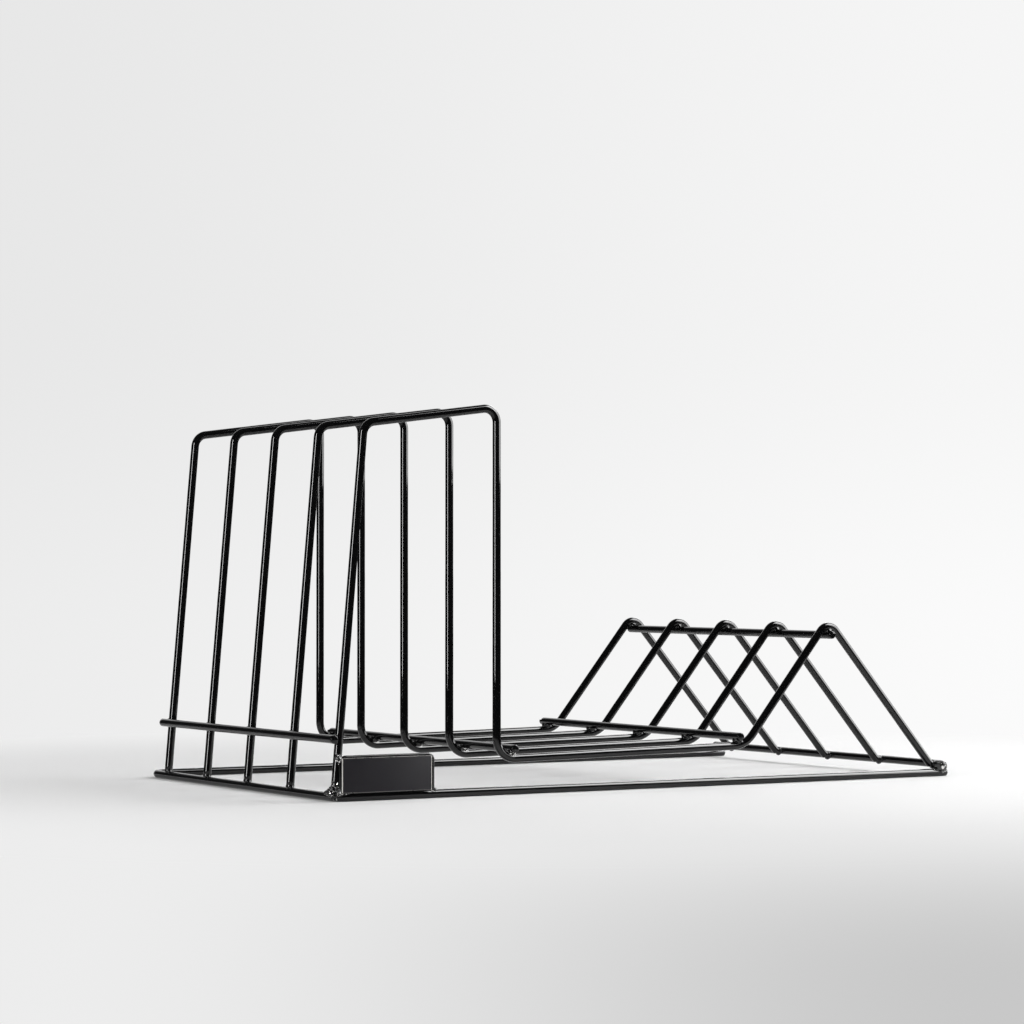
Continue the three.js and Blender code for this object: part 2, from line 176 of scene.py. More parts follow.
@dataclass
class BentWire:
    """A round wire whose straight runs and bends lie in one plane.

    Args:
        name: the piece's name.
        corners: the corners of its centre line, from end to end.
        radius: the wire's radius.
        sides: how many faces go round it.
        ring_pitch: how far apart its rings stand on a straight run.
        bend_step: the angle between the rings of a bend.
        end_round: how far its cut ends are rounded.
        end_faces: how many faces that rounding takes.
        crease: the least angle between two faces that still shows as an edge.
        coat_sag: how far the coat's thickness varies.
        coat_grain: how long the coat's thick and thin places are.
    """

    name: str
    corners: list[Corner]
    radius: float
    sides: int = 24
    ring_pitch: float = 0.0025
    bend_step: float = math.radians(6)
    end_round: float = 0.00045
    end_faces: int = 3
    crease: float = math.radians(50)
    coat_sag: float = 0.00005
    coat_grain: float = 0.009

    def model(self) -> bpy.types.Object:
        """Draws the wire out of a disc, run by run and bend by bend.

        Returns:
            The finished mesh object, with its place in its mesh.
        """
        headings = [(b.place - a.place).normalized() for a, b in zip(self.corners, self.corners[1:])]
        piece = self._add_disc(headings[0])
        here = self.corners[0].place
        for corner, before, after in zip(self.corners[1:-1], headings, headings[1:]):
            setback = corner.bend * math.tan(before.angle(after) / 2)
            start = corner.place - before * setback
            self._draw_run(start - here)
            self._draw_bend(start, before, after, corner.bend)
            here = corner.place + after * setback
        self._draw_run(self.corners[-1].place - here)
        face_outwards()
        self._round_ends(piece, headings[0], headings[-1])
        self._vary_coat(piece)
        return piece

    def _add_disc(self, heading: Vector) -> bpy.types.Object:
        """Adds the wire's first cut end and opens it for editing.

        Args:
            heading: the direction in which the wire's first run goes.

        Returns:
            The disc, in edit mode with its face selected.
        """
        deselect_all()
        turn = heading.to_track_quat("Z", "Y").to_euler()
        bpy.ops.mesh.primitive_circle_add(
            vertices=self.sides, radius=self.radius, fill_type="NGON", location=self.corners[0].place,
            rotation=turn,
        )
        piece = bpy.context.active_object
        piece.name = piece.data.name = self.name
        settle_transform()
        bpy.ops.object.mode_set(mode="EDIT")
        bpy.ops.mesh.select_mode(type="FACE")
        bpy.ops.mesh.select_all(action="SELECT")
        return piece

    def _draw_run(self, along: Vector) -> None:
        """Extrudes the open end along a straight run."""
        steps = max(1, round(along.length / self.ring_pitch))
        bpy.ops.mesh.extrude_repeat(steps=steps, offset=along / steps)

    def _draw_bend(self, start: Vector, before: Vector, after: Vector, bend: float) -> None:
        """Spins the open end round the middle of a bend.

        Args:
            start: where the wire's centre line enters the bend.
            before: the direction of the run before the bend.
            after: the direction of the run after it.
            bend: the radius of the centre line in it.
        """
        turn = before.angle(after)
        axis = before.cross(after).normalized()
        centre = start + axis.cross(before) * bend
        steps = math.ceil(turn / self.bend_step)
        bpy.ops.mesh.spin(steps=steps, angle=-turn, center=centre, axis=axis)

    def _round_ends(self, piece: bpy.types.Object, first: Vector, last: Vector) -> None:
        """Rounds the rims of the two cut ends.

        Args:
            piece: the wire's object.
            first: the direction of its first run.
            last: the direction of its last run.
        """
        ends = ((self.corners[0].place, first), (self.corners[-1].place, last))
        near = self.radius / self.sides

        def on_a_rim(a: Vector, b: Vector) -> bool:
            """Says whether an edge is part of a cut end's rim.

            Args:
                a: one end point of the edge.
                b: the other end point.

            Returns:
                Whether both points lie in the plane of one cut end.
            """
            return any(
                all(abs((p - end).dot(heading)) < near and (p - end).length < 2 * self.radius for p in (a, b))
                for end, heading in ends
            )

        only(piece)
        select_edges(piece, on_a_rim)
        bpy.ops.mesh.bevel(offset=self.end_round, segments=self.end_faces, affect="EDGES")
        bpy.ops.object.mode_set(mode="OBJECT")
        bpy.ops.object.shade_smooth_by_angle(angle=self.crease)

    def _vary_coat(self, piece: bpy.types.Object) -> None:
        """Lets the coat's surface dip a little here and there, never out of the wire's true size.

        Args:
            piece: the wire's object.
        """
        apply_modifier(
            piece, "DISPLACE", texture=noise_field(f"{self.name}_coat", self.coat_grain),
            texture_coords="GLOBAL", strength=self.coat_sag, mid_level=1.0,
        )


def dress(piece: bpy.types.Object, material: bpy.types.Material, slot: Slot, *nodes: str) -> bpy.types.Object:
    """Gives a piece its material, hangs it under the root and hides the CAD nodes that it stands for.

    Args:
        piece: the finished object.
        material: the material of its whole surface.
        slot: the slot for that finish; not used.
        nodes: the CAD nodes that the piece stands for.

    Returns:
        The same object.
    """
    if not piece.data.materials:
        piece.data.materials.append(material)
    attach(piece, "root")
    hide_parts(*nodes)
    LOG.info("%s: %d faces", piece.name, len(piece.data.polygons))
    return piece


class Effect:
    """A shader node group under construction, with named inputs and outputs."""

    def __init__(self, name: str, inputs: dict[str, float], outputs: tuple[str, ...]) -> None:
        """Makes the group with its sockets and nothing between them.

        Args:
            name: the group's name.
            inputs: the name and default value of each input.
            outputs: the name of each output.
        """
        self.tree = bpy.data.node_groups.new(name, "ShaderNodeTree")
        for socket, value in inputs.items():
            made = self.tree.interface.new_socket(socket, in_out="INPUT", socket_type="NodeSocketFloat")
            made.default_value = value
        for socket in outputs:
            self.tree.interface.new_socket(socket, in_out="OUTPUT", socket_type="NodeSocketFloat")
        self.start = self.tree.nodes.new("NodeGroupInput")
        self.end = self.tree.nodes.new("NodeGroupOutput")

    def __getitem__(self, socket: str) -> bpy.types.NodeSocket:
        """Returns one of the group's inputs, to be read inside it."""
        return self.start.outputs[socket]

    def put_out(self, socket: str, value: bpy.types.NodeSocket) -> None:
        """Sends a value to one of the group's outputs."""
        self.tree.links.new(value, self.end.inputs[socket])


class Wiring:
    """Adds nodes to a shader tree, one call a node."""

    def __init__(self, tree: bpy.types.NodeTree) -> None:
        """Keeps the node tree that the nodes go into."""
        self.tree = tree

    def node(self, kind: str, **settings: object) -> bpy.types.Node:
        """Adds a node.

        Args:
            kind: its type, without the word ShaderNode.
            settings: values of its own properties.

        Returns:
            The new node.
        """
        made = self.tree.nodes.new(f"ShaderNode{kind}")
        for name, value in settings.items():
            setattr(made, name, value)
        return made

    def feed(self, node: bpy.types.Node, **sockets: object) -> bpy.types.Node:
        """Links or sets a node's inputs.

        Args:
            node: the node.
            sockets: each input's name, with spaces as underscores, and a socket or a plain value.

        Returns:
            The same node.
        """
        for name, value in sockets.items():
            self.put(node.inputs[name.replace("_", " ")], value)
        return node

    def put(self, target: bpy.types.NodeSocket, value: object) -> None:
        """Links a socket to an input or sets the input to a plain value.

        Args:
            target: the input.
            value: a socket or a plain value.
        """
        if isinstance(value, bpy.types.NodeSocket):
            self.tree.links.new(value, target)
        else:
            target.default_value = value

    def math(self, operation: str, *values: object) -> bpy.types.NodeSocket:
        """Adds a Math node.

        Args:
            operation: what it works out.
            values: its inputs in order, each a socket or a number.

        Returns:
            Its result.
        """
        made = self.node("Math", operation=operation)
        for target, value in zip(made.inputs, values):
            self.put(target, value)
        return made.outputs[0]

    def dot(self, a: bpy.types.NodeSocket, b: Vector) -> bpy.types.NodeSocket:
        """Works out the dot product of a vector that changes and a fixed one.

        Args:
            a: the socket of the vector that changes.
            b: the fixed vector.

        Returns:
            Their product.
        """
        made = self.node("VectorMath", operation="DOT_PRODUCT")
        self.put(made.inputs[0], a)
        made.inputs[1].default_value = b
        return made.outputs["Value"]

    def ramp(
        self, value: object, low: object, high: object, start: object = 0.0, end: object = 1.0
    ) -> bpy.types.NodeSocket:
        """Adds a smooth change from start to end while a value goes from low to high.

        Args:
            value: what the change follows.
            low: the value at which it begins.
            high: the value at which it is complete.
            start: what it gives below low.
            end: what it gives above high.

        Returns:
            The result, which changes smoothly.
        """
        made = self.node("MapRange", interpolation_type="SMOOTHSTEP")
        self.feed(made, Value=value, From_Min=low, From_Max=high, To_Min=start, To_Max=end)
        return made.outputs["Result"]

    def noise(self, pitch: object, detail: float = 1.0) -> bpy.types.NodeSocket:
        """Returns a cloudy value over the object.

        Args:
            pitch: how far apart its lumps are, in metres.
            detail: how much finer grain it carries.

        Returns:
            The noise's value, from 0 to 1.
        """
        place = self.node("TexCoord").outputs["Object"]
        made = self.node("TexNoise")
        self.feed(made, Vector=place, Scale=self.math("DIVIDE", 1.0, pitch), Detail=detail)
        return made.outputs["Fac"]

    def colour_mix(self, mask: bpy.types.NodeSocket, under: Colour, over: Colour) -> bpy.types.NodeSocket:
        """Adds a colour that goes from one to another with a mask.

        Args:
            mask: how much of the second colour shows.
            under: the first colour.
            over: the second colour.

        Returns:
            The mixed colour.
        """
        first_colour, second_colour, mixed_colour = 6, 7, 2
        made = self.node("Mix", data_type="RGBA")
        self.put(made.inputs["Factor"], mask)
        made.inputs[first_colour].default_value = (*under, 1)
        made.inputs[second_colour].default_value = (*over, 1)
        return made.outputs[mixed_colour]


def orange_peel_effect() -> bpy.types.NodeTree:
    """Makes the group for a coat's fine ripple, whose Height rises and falls at the given Pitch.

    Returns:
        The group.
    """
    effect = Effect("orange_peel", {"Pitch": 0.001, "Fine Share": 0.3}, ("Height",))
    wiring = Wiring(effect.tree)
    broad = wiring.noise(effect["Pitch"])
    fine = wiring.noise(wiring.math("MULTIPLY", effect["Pitch"], effect["Fine Share"]), detail=3.0)
    part = wiring.math("MULTIPLY", fine, effect["Fine Share"])
    effect.put_out("Height", wiring.math("ADD", broad, part))
    return effect.tree


def gloss_patches_effect() -> bpy.types.NodeTree:
    """Makes the group for a gloss that differs from place to place, whose Roughness is between two values.

    Returns:
        The group.
    """
    all_smooth, all_dull = 0.35, 0.7
    effect = Effect("gloss_patches", {"Smooth": 0.1, "Dull": 0.2, "Pitch": 0.01}, ("Roughness",))
    wiring = Wiring(effect.tree)
    cloud = wiring.noise(effect["Pitch"], detail=4.0)
    effect.put_out("Roughness", wiring.ramp(cloud, all_smooth, all_dull, effect["Smooth"], effect["Dull"]))
    return effect.tree


def settled_dust_effect() -> bpy.types.NodeTree:
    """Makes the group for dust, whose Mask is a thin veil and a few specks on what faces up.

    Returns:
        The group.
    """
    too_steep, flat_enough = 0.2, 0.9
    cloud_pitch, clear, clouded = 0.012, 0.4, 0.7
    speck_core, speck_rim = 0.02, 0.045
    effect = Effect("settled_dust", {"Veil": 0.05, "Specks": 0.5, "Speck Pitch": 0.004}, ("Mask",))
    wiring = Wiring(effect.tree)
    normal = wiring.node("NewGeometry").outputs["Normal"]
    upper = wiring.ramp(wiring.dot(normal, UP), too_steep, flat_enough)
    cloud = wiring.ramp(wiring.noise(cloud_pitch, detail=3.0), clear, clouded)
    veil = wiring.math("MULTIPLY", cloud, effect["Veil"])
    cells = wiring.node("TexVoronoi", feature="F1")
    place = wiring.node("TexCoord").outputs["Object"]
    wiring.feed(cells, Vector=place, Scale=wiring.math("DIVIDE", 1.0, effect["Speck Pitch"]))
    speck = wiring.ramp(cells.outputs["Distance"], speck_core, speck_rim, start=1.0, end=0.0)
    specks = wiring.math("MULTIPLY", speck, effect["Specks"])
    effect.put_out("Mask", wiring.math("MULTIPLY", wiring.math("MAXIMUM", veil, specks), upper))
    return effect.tree


@dataclass
class Effects:
    """The shader node groups that several finishes share.

    Args:
        peel: the fine ripple of a coat.
        patches: the gloss that differs from place to place.
        dust: the thin veil and specks of dust.
    """

    peel: bpy.types.NodeTree = field(default_factory=orange_peel_effect)
    patches: bpy.types.NodeTree = field(default_factory=gloss_patches_effect)
    dust: bpy.types.NodeTree = field(default_factory=settled_dust_effect)

    def use(self, wiring: Wiring, group: bpy.types.NodeTree, **values: float) -> bpy.types.NodeSocket:
        """Places a group in a material with its own values.

        Args:
            wiring: the material's wiring.
            group: one of the shared groups.
            values: the group's inputs, with spaces as underscores.

        Returns:
            The group's one output.
        """
        placed = wiring.node("Group", node_tree=group)
        wiring.feed(placed, **values)
        return placed.outputs[0]


@dataclass(frozen=True)
class Coat:
    """A black coat on steel, with a fine ripple, a gloss that differs from place to place, and a little dust.

    Args:
        name: the material's name.
        colour: the coat's own colour.
        dust_colour: the colour of the dust on it.
        smooth: its roughness where it shines most.
        dull: its roughness where it shines least.
        patch_pitch: how far apart its glossy and dull places are.
        ripple_pitch: how far apart its ripples are.
        ripple_depth: how deep they are.
        veil: how much the thin dust covers.
        specks: how much the dust specks cover.
        dust_dulling: how much dust adds to its roughness.
        metallic: how much it is bare metal.
        specular: how strongly it reflects, where 0.5 is plain lacquer.
        facet_pitch: how far apart its small rough facets are.
        facet_tilt: how far they lean, where 0 is not at all.
        bare_share: how many of them are bare metal.
    """

    name: str
    colour: Colour
    smooth: float
    dull: float
    patch_pitch: float
    ripple_pitch: float
    ripple_depth: float
    dust_colour: Colour = (0.32, 0.31, 0.3)
    veil: float = 0.01
    specks: float = 0.5
    dust_dulling: float = 0.5
    metallic: float = 0.0
    specular: float = 0.5
    facet_pitch: float = 0.0005
    facet_tilt: float = 0.0
    bare_share: float = 0.0

    def material(self, effects: Effects) -> bpy.types.Material:
        """Makes the finish's material.

        Args:
            effects: the shared node groups.

        Returns:
            A new material.
        """
        coat = bpy.data.materials.new(self.name)
        coat.use_nodes = True
        wiring = Wiring(coat.node_tree)
        principled = coat.node_tree.nodes["Principled BSDF"]
        dust = effects.use(wiring, effects.dust, Veil=self.veil, Specks=self.specks)
        gloss = effects.use(
            wiring, effects.patches, Smooth=self.smooth, Dull=self.dull, Pitch=self.patch_pitch
        )
        ripple = effects.use(wiring, effects.peel, Pitch=self.ripple_pitch)
        bump = wiring.node("Bump")
        wiring.feed(bump, Height=ripple, Distance=self.ripple_depth, Strength=1.0)
        wiring.feed(
            principled, Base_Color=wiring.colour_mix(dust, self.colour, self.dust_colour),
            Roughness=wiring.math("ADD", gloss, wiring.math("MULTIPLY", dust, self.dust_dulling)),
            Normal=bump.outputs["Normal"], Metallic=self.metallic, Specular_IOR_Level=self.specular,
        )
        if self.facet_tilt:
            self._add_facets(wiring, principled, bump.outputs["Normal"])
        return coat

    def _add_facets(self, wiring: Wiring, principled: bpy.types.Node, normal: bpy.types.NodeSocket) -> None:
        """Breaks the surface into small facets that lean all ways, a few of them bare and bright.

        Args:
            wiring: the material's wiring.
            principled: the material's shader.
            normal: the surface's normal without the facets.
        """
        mean_colour = (0.5, 0.5, 0.5)
        red = Vector((1, 0, 0))
        cells = wiring.node("TexVoronoi", feature="F1")
        wiring.feed(cells, Vector=wiring.node("TexCoord").outputs["Object"], Scale=1 / self.facet_pitch)
        lean = wiring.node("VectorMath", operation="SUBTRACT")
        wiring.put(lean.inputs[0], cells.outputs["Color"])
        lean.inputs[1].default_value = mean_colour
        leaning = wiring.node("VectorMath", operation="MULTIPLY_ADD")
        wiring.put(leaning.inputs[0], lean.outputs["Vector"])
        leaning.inputs[1].default_value = (self.facet_tilt,) * 3
        wiring.put(leaning.inputs[2], normal)
        unit = wiring.node("VectorMath", operation="NORMALIZE")
        wiring.put(unit.inputs[0], leaning.outputs["Vector"])
        chance = wiring.dot(cells.outputs["Color"], red)
        bare = wiring.math("LESS_THAN", chance, self.bare_share)
        wiring.feed(
            principled, Normal=unit.outputs["Vector"], Metallic=bare,
            Base_Color=wiring.colour_mix(bare, self.colour, BARE_METAL),
        )


BARE_METAL = (0.8, 0.79, 0.77)
GLOSS_COAT = Coat(
    "gloss_black_coat", colour=(0.002, 0.002, 0.0022), smooth=0.03, dull=0.08, patch_pitch=0.008,
    ripple_pitch=0.003, ripple_depth=0.000002,
)
WELD_COAT = Coat(
    "weld_black_coat", colour=(0.002, 0.002, 0.0022), smooth=0.05, dull=0.15, patch_pitch=0.002,
    ripple_pitch=0.0006, ripple_depth=0.00001, specks=0.0,
)
ROUGH_WELD_COAT = Coat(
    "rough_weld_black_coat", colour=(0.003, 0.003, 0.0032), smooth=0.04, dull=0.12, patch_pitch=0.002,
    ripple_pitch=0.0006, ripple_depth=0.00001, specks=0.0, specular=0.9, facet_pitch=0.0008, facet_tilt=0.95,
    bare_share=0.2,
)
DOME_COAT = Coat(
    "dome_black_coat", colour=(0.003, 0.003, 0.0032), smooth=0.05, dull=0.15, patch_pitch=0.002,
    ripple_pitch=0.0008, ripple_depth=0.00001, specks=0.0, specular=0.8, facet_pitch=0.0014, facet_tilt=0.9,
    bare_share=0.12,
)
PLATE_COAT = Coat(
    "satin_black_plate", colour=(0.0105, 0.0095, 0.0125), smooth=0.44, dull=0.52, patch_pitch=0.006,
    ripple_pitch=0.0003, ripple_depth=0.000004, veil=0.0, specks=0.0, specular=0.22,
)
# Darker copy of the plate's bare edge for its level chamfers: painted shade.
PLATE_EDGE_PAINTED_SHADE = Coat(
    "plate_edge_painted_shade", colour=(0.13, 0.127, 0.123), smooth=0.25, dull=0.45, patch_pitch=0.003,
    ripple_pitch=0.0004, ripple_depth=0.000008, veil=0.0, specks=0.0, metallic=0.6,
)
# Pale bare edge for the plate's upright chamfers, partly a painted highlight along them.
PLATE_EDGE_AND_HIGHLIGHT = Coat(
    "bare_plate_edge_and_highlight", colour=(0.82, 0.8, 0.75), smooth=0.3, dull=0.4, patch_pitch=0.003,
    ripple_pitch=0.0004, ripple_depth=0.000002, veil=0.0, specks=0.0, metallic=0.6,
)


@dataclass
class BaseFrame:
    """The base: a wire bent into a U on the floor and the rod laid across its two ends.

    Args:
        bend: the radius of the two bends at the left.
    """

    bend: float = 0.005

    def build(self, coat: bpy.types.Material) -> dict[str, bpy.types.Object]:
        """Models and dresses both pieces.

        Args:
            coat: the material of both.

        Returns:
            The two finished pieces by their CAD nodes.
        """
        low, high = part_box("base_wire")
        radius = (high.z - low.z) / 2
        left, front, back, z = low.x + radius, low.y + radius, high.y - radius, radius
        corners = [
            Corner(Vector((high.x, back, z))),
            Corner(Vector((left, back, z)), self.bend),
            Corner(Vector((left, front, z)), self.bend),
            Corner(Vector((high.x, front, z))),
        ]
        wire = BentWire("base_u_wire", corners, radius).model()
        rod = straight_rod("base_cross_rod", "base_right_rod")
        return {
            "base_wire": dress(wire, coat, Slot.GLOSS, "base_wire"),
            "base_right_rod": dress(rod, coat, Slot.GLOSS, "base_right_rod"),
        }


def straight_rod(name: str, node: str) -> bpy.types.Object:
    """Models a straight rod across the rack in a CAD rod's place.

    Args:
        name: the new piece's name.
        node: the CAD node whose box gives the rod's place, length and radius.

    Returns:
        The rod's object.
    """
    low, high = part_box(node)
    centre = middle(node)
    ends = [Corner(Vector((centre.x, y, centre.z))) for y in (low.y, high.y)]
    return BentWire(name, ends, (high.z - low.z) / 2).model()


@dataclass
class RacketWire:
    """One bent wire: a tall hoop at the left, a low tray beside it and a peak at the right.

    Args:
        row: which wire it is, counted from the front.
        radius: the wire's radius.
        seat_gap: how far its foot and its end stay clear of the base, where the welds are.
        hoop_height: the height of the hoop's upper left corner.
        top_climb: how much higher the upper right corner is.
        top_width: how far apart the two are.
        leg_lean: how far the left leg leans to the right over its height.
        hoop_bend: the radius of the hoop's two bends.
        tray_height: the height of the tray's left corner.
        tray_angle: the angle at which the tray climbs to the right.
        tray_left_bend: the radius of the bend at the tray's left.
        tray_right_bend: the radius of the bend where the rise to the peak starts.
        peak_height: the height of the peak's corner.
        rise_angle: the angle of the rise.
        fall_angle: the angle of the fall behind it.
        peak_bend: the radius of the peak's bend.
        end_lap: how much the fall's cut end laps over the side of the base's right rod.
    """

    row: int
    radius: float = WIRE_RADIUS
    seat_gap: float = 0.0003
    hoop_height: float = 0.1745
    top_climb: float = 0.009
    top_width: float = 0.0715
    leg_lean: float = 0.015
    hoop_bend: float = 0.0065
    tray_height: float = 0.0167
    tray_angle: float = math.radians(1)
    tray_left_bend: float = 0.010
    tray_right_bend: float = 0.015
    peak_height: float = 0.081
    rise_angle: float = math.radians(50.5)
    fall_angle: float = math.radians(49)
    peak_bend: float = 0.006
    end_lap: float = 0.001

    @property
    def node(self) -> str:
        """The CAD node of this wire."""
        return f"profile_wire_{self.row}"

    def corners(self) -> list[Corner]:
        """Works out the wire's corners.

        Returns:
            The corners from the foot of the hoop to the foot of the peak.
        """
        y = middle(self.node).y
        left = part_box("base_wire")[0].x + self.radius
        foot = Vector((left, y, 2 * self.radius + self.seat_gap))
        top_left = Vector((left + self.leg_lean, y, self.hoop_height))
        top_right = top_left + Vector((self.top_width, 0, self.top_climb))
        tray_left = Vector((top_right.x, y, self.tray_height))
        end = self._fall_end(y)
        angles = self.tray_angle, self.rise_angle, -self.fall_angle
        tray, rise, fall = (self._slope(angle) for angle in angles)
        peak = end - fall * ((self.peak_height - end.z) / -fall.z)
        tray_right = self._crossing(tray_left, tray, peak, rise)
        return [
            Corner(foot),
            Corner(top_left, self.hoop_bend),
            Corner(top_right, self.hoop_bend),
            Corner(tray_left, self.tray_left_bend),
            Corner(tray_right, self.tray_right_bend),
            Corner(peak, self.peak_bend),
            Corner(end),
        ]

    def build(self, coat: bpy.types.Material) -> bpy.types.Object:
        """Models and dresses the wire."""
        wire = BentWire(f"racket_wire_{self.row}", self.corners(), self.radius).model()
        return dress(wire, coat, Slot.GLOSS, self.node)

    @staticmethod
    def _slope(angle: float) -> Vector:
        """Returns the direction along the rack at an angle above level."""
        return Vector((math.cos(angle), 0, math.sin(angle)))

    def _fall_end(self, y: float) -> Vector:
        """Works out where the falling run is cut off, beside the base's right rod.

        Args:
            y: how far back the wire stands.

        Returns:
            The end of its centre line.
        """
        rod = middle("base_right_rod")
        fall = self._slope(-self.fall_angle)
        left_of_fall = Vector((-fall.z, 0, fall.x))
        reach = self.radius + self.seat_gap
        lap = self.radius - self.end_lap
        offset = 2 * self.radius - self.end_lap
        end = Vector((rod.x, y, rod.z)) - left_of_fall * offset
        return end - fall * math.sqrt(reach * reach - lap * lap)

    @staticmethod
    def _crossing(a: Vector, along_a: Vector, b: Vector, along_b: Vector) -> Vector:
        """Works out where two lines of the wire's plane cross.

        Args:
            a: a point of the first line.
            along_a: the first line's direction.
            b: a point of the second line.
            along_b: the second line's direction.

        Returns:
            The point that both lines share.
        """
        between = b - a
        across_b = Vector((-along_b.z, 0, along_b.x))
        return a + along_a * (between.dot(across_b) / along_a.dot(across_b))


def clipped_copy(wire: bpy.types.Object, low: Vector, high: Vector) -> bpy.types.Object:
    """Copies the stretch of a wire that lies in a box, with closed ends.

    Args:
        wire: a finished wire.
        low: the box's lowest corner.
        high: its highest corner.

    Returns:
        The stretch, as an object of its own.
    """
    stretch = wire.copy()
    stretch.data = wire.data.copy()
    bpy.context.scene.collection.objects.link(stretch)
    only(stretch)
    bpy.ops.object.mode_set(mode="EDIT")
    for corner, side in ((low, -1), (high, 1)):
        for axis in range(3):
            outward = Vector([side if i == axis else 0 for i in range(3)])
            bpy.ops.mesh.select_all(action="SELECT")
            bpy.ops.mesh.bisect(plane_co=corner, plane_no=outward, use_fill=True, clear_outer=True)
    bpy.ops.object.mode_set(mode="OBJECT")
    return stretch


@dataclass(frozen=True)
class Lump:
    """A rounded lump of weld metal.

    Args:
        place: its middle.
        half: its half sizes.
    """

    place: Vector
    half: Vector

    @classmethod
    def of_node(cls, node: str, grow: float = 1.0) -> "Lump":
        """Returns a lump that fills a CAD weld's box, grown by a factor."""
        low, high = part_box(node)
        return cls((low + high) / 2, (high - low) / 2 * grow)

    def model(self) -> bpy.types.Object:
        """Models the lump by itself.

        Returns:
            Its mesh object.
        """
        deselect_all()
        bpy.ops.mesh.primitive_ico_sphere_add(subdivisions=3, radius=1, location=self.place, scale=self.half)
        settle_transform()
        return bpy.context.active_object


@dataclass
class FusedWeld:
    """Weld metal that runs into the wires it joins: stretches of the wires and lumps, melted into one skin.

    Args:
        name: the piece's name, without the number of its row.
        node: the CAD weld that it stands for, without the number of its row.
        wires: the finished wires that it joins, at the front row.
        lumps: the weld metal laid between them.
        stretch: how far from the lumps the stretches of the wires go.
        grain: the size of the skin's faces while it is melted.
        melt: how many times the skin is smoothed, which fills its corners.
        metal_reach: how far out the ripples go, where 1 is a lump's surface.
        metal_fade: over how much of that they fade away.
        ripple: how high its fine ripples are.
        ripple_pitch: how far apart they are.
        droplets: where small round droplets lie, with the radius of each.
    """

    name: str
    node: str
    wires: list[bpy.types.Object]
    lumps: list[Lump]
    stretch: float = 0.0015
    grain: float = 0.00024
    melt: int = 10
    metal_reach: float = 1.5
    metal_fade: float = 0.5
    ripple: float = 0.0003
    ripple_pitch: float = 0.0007
    droplets: tuple[Lump, ...] = ()

    def shape(self) -> bpy.types.Object:
        """Melts the stretches and lumps into one smooth skin that sinks into the wires at its ends.

        Returns:
            The skin, with a group of the vertices that are weld metal.
        """
        low = Vector([
            min(lump.place[i] - lump.half[i] for lump in self.lumps) - self.stretch for i in range(3)
        ])
        high = Vector([
            max(lump.place[i] + lump.half[i] for lump in self.lumps) + self.stretch for i in range(3)
        ])
        parts = [clipped_copy(wire, low, high) for wire in self.wires] + [lump.model() for lump in self.lumps]
        deselect_all()
        for part in parts:
            part.select_set(True)
        bpy.context.view_layer.objects.active = parts[0]
        bpy.ops.object.join()
        skin = parts[0]
        skin.data.materials.clear()
        skin.name = skin.data.name = f"{self.name}_shape"
        apply_modifier(skin, "REMESH", mode="VOXEL", voxel_size=self.grain, adaptivity=0)
        apply_modifier(skin, "SMOOTH", factor=0.5, iterations=self.melt)
        self._mark_metal(skin)
        return skin

    def _mark_metal(self, skin: bpy.types.Object) -> None:
        """Weights the skin's vertices by how near they are to the lumps.

        Args:
            skin: the melted skin.
        """
        metal = skin.vertex_groups.new(name="metal")
        for vertex in skin.data.vertices:
            reach = min(self._depth(vertex.co, lump) for lump in self.lumps)
            weight = max(0.0, min(1.0, (self.metal_reach - reach) / self.metal_fade))
            metal.add([vertex.index], weight, "REPLACE")

    @staticmethod
    def _depth(point: Vector, lump: Lump) -> float:
        """Returns how far out a point is from a lump's middle, where 1 is the lump's surface."""
        away = point - lump.place
        return Vector([away[i] / lump.half[i] for i in range(3)]).length

    def place(self, skin: bpy.types.Object, row: int | None, coat: bpy.types.Material) -> bpy.types.Object:
        """Copies the skin to a row, gives it the ripples of its own place and dresses it.

        Args:
            skin: the melted skin, at the front row.
            row: the row's number, or None for a weld that the rack has only once.
            coat: the weld's material.

        Returns:
            The dressed weld.
        """
        suffix = "" if row is None else f"_{row}"
        weld = skin.copy()
        weld.data = skin.data.copy()
        weld.name = weld.data.name = self.name + suffix
        bpy.context.scene.collection.objects.link(weld)
        if row:
            weld.data.transform(Matrix.Translation(middle(f"profile_wire_{row}") - middle("profile_wire_1")))
        apply_modifier(
            weld, "DISPLACE", texture=noise_field(f"{weld.name}_ripple", self.ripple_pitch),
            vertex_group="metal", texture_coords="GLOBAL", strength=self.ripple, mid_level=0.5,
        )
        weld.vertex_groups.clear()
        self._add_droplets(weld)
        only(weld)
        bpy.ops.object.shade_smooth()
        return dress(weld, coat, Slot.WELD, self.node + suffix)

    def _add_droplets(self, weld: bpy.types.Object) -> None:
        """Joins the droplets of spatter to a weld.

        Args:
            weld: the weld's object.
        """
        drops = [drop.model() for drop in self.droplets]
        deselect_all()
        for part in (weld, *drops):
            part.select_set(True)
        bpy.context.view_layer.objects.active = weld
        if drops:
            bpy.ops.object.join()


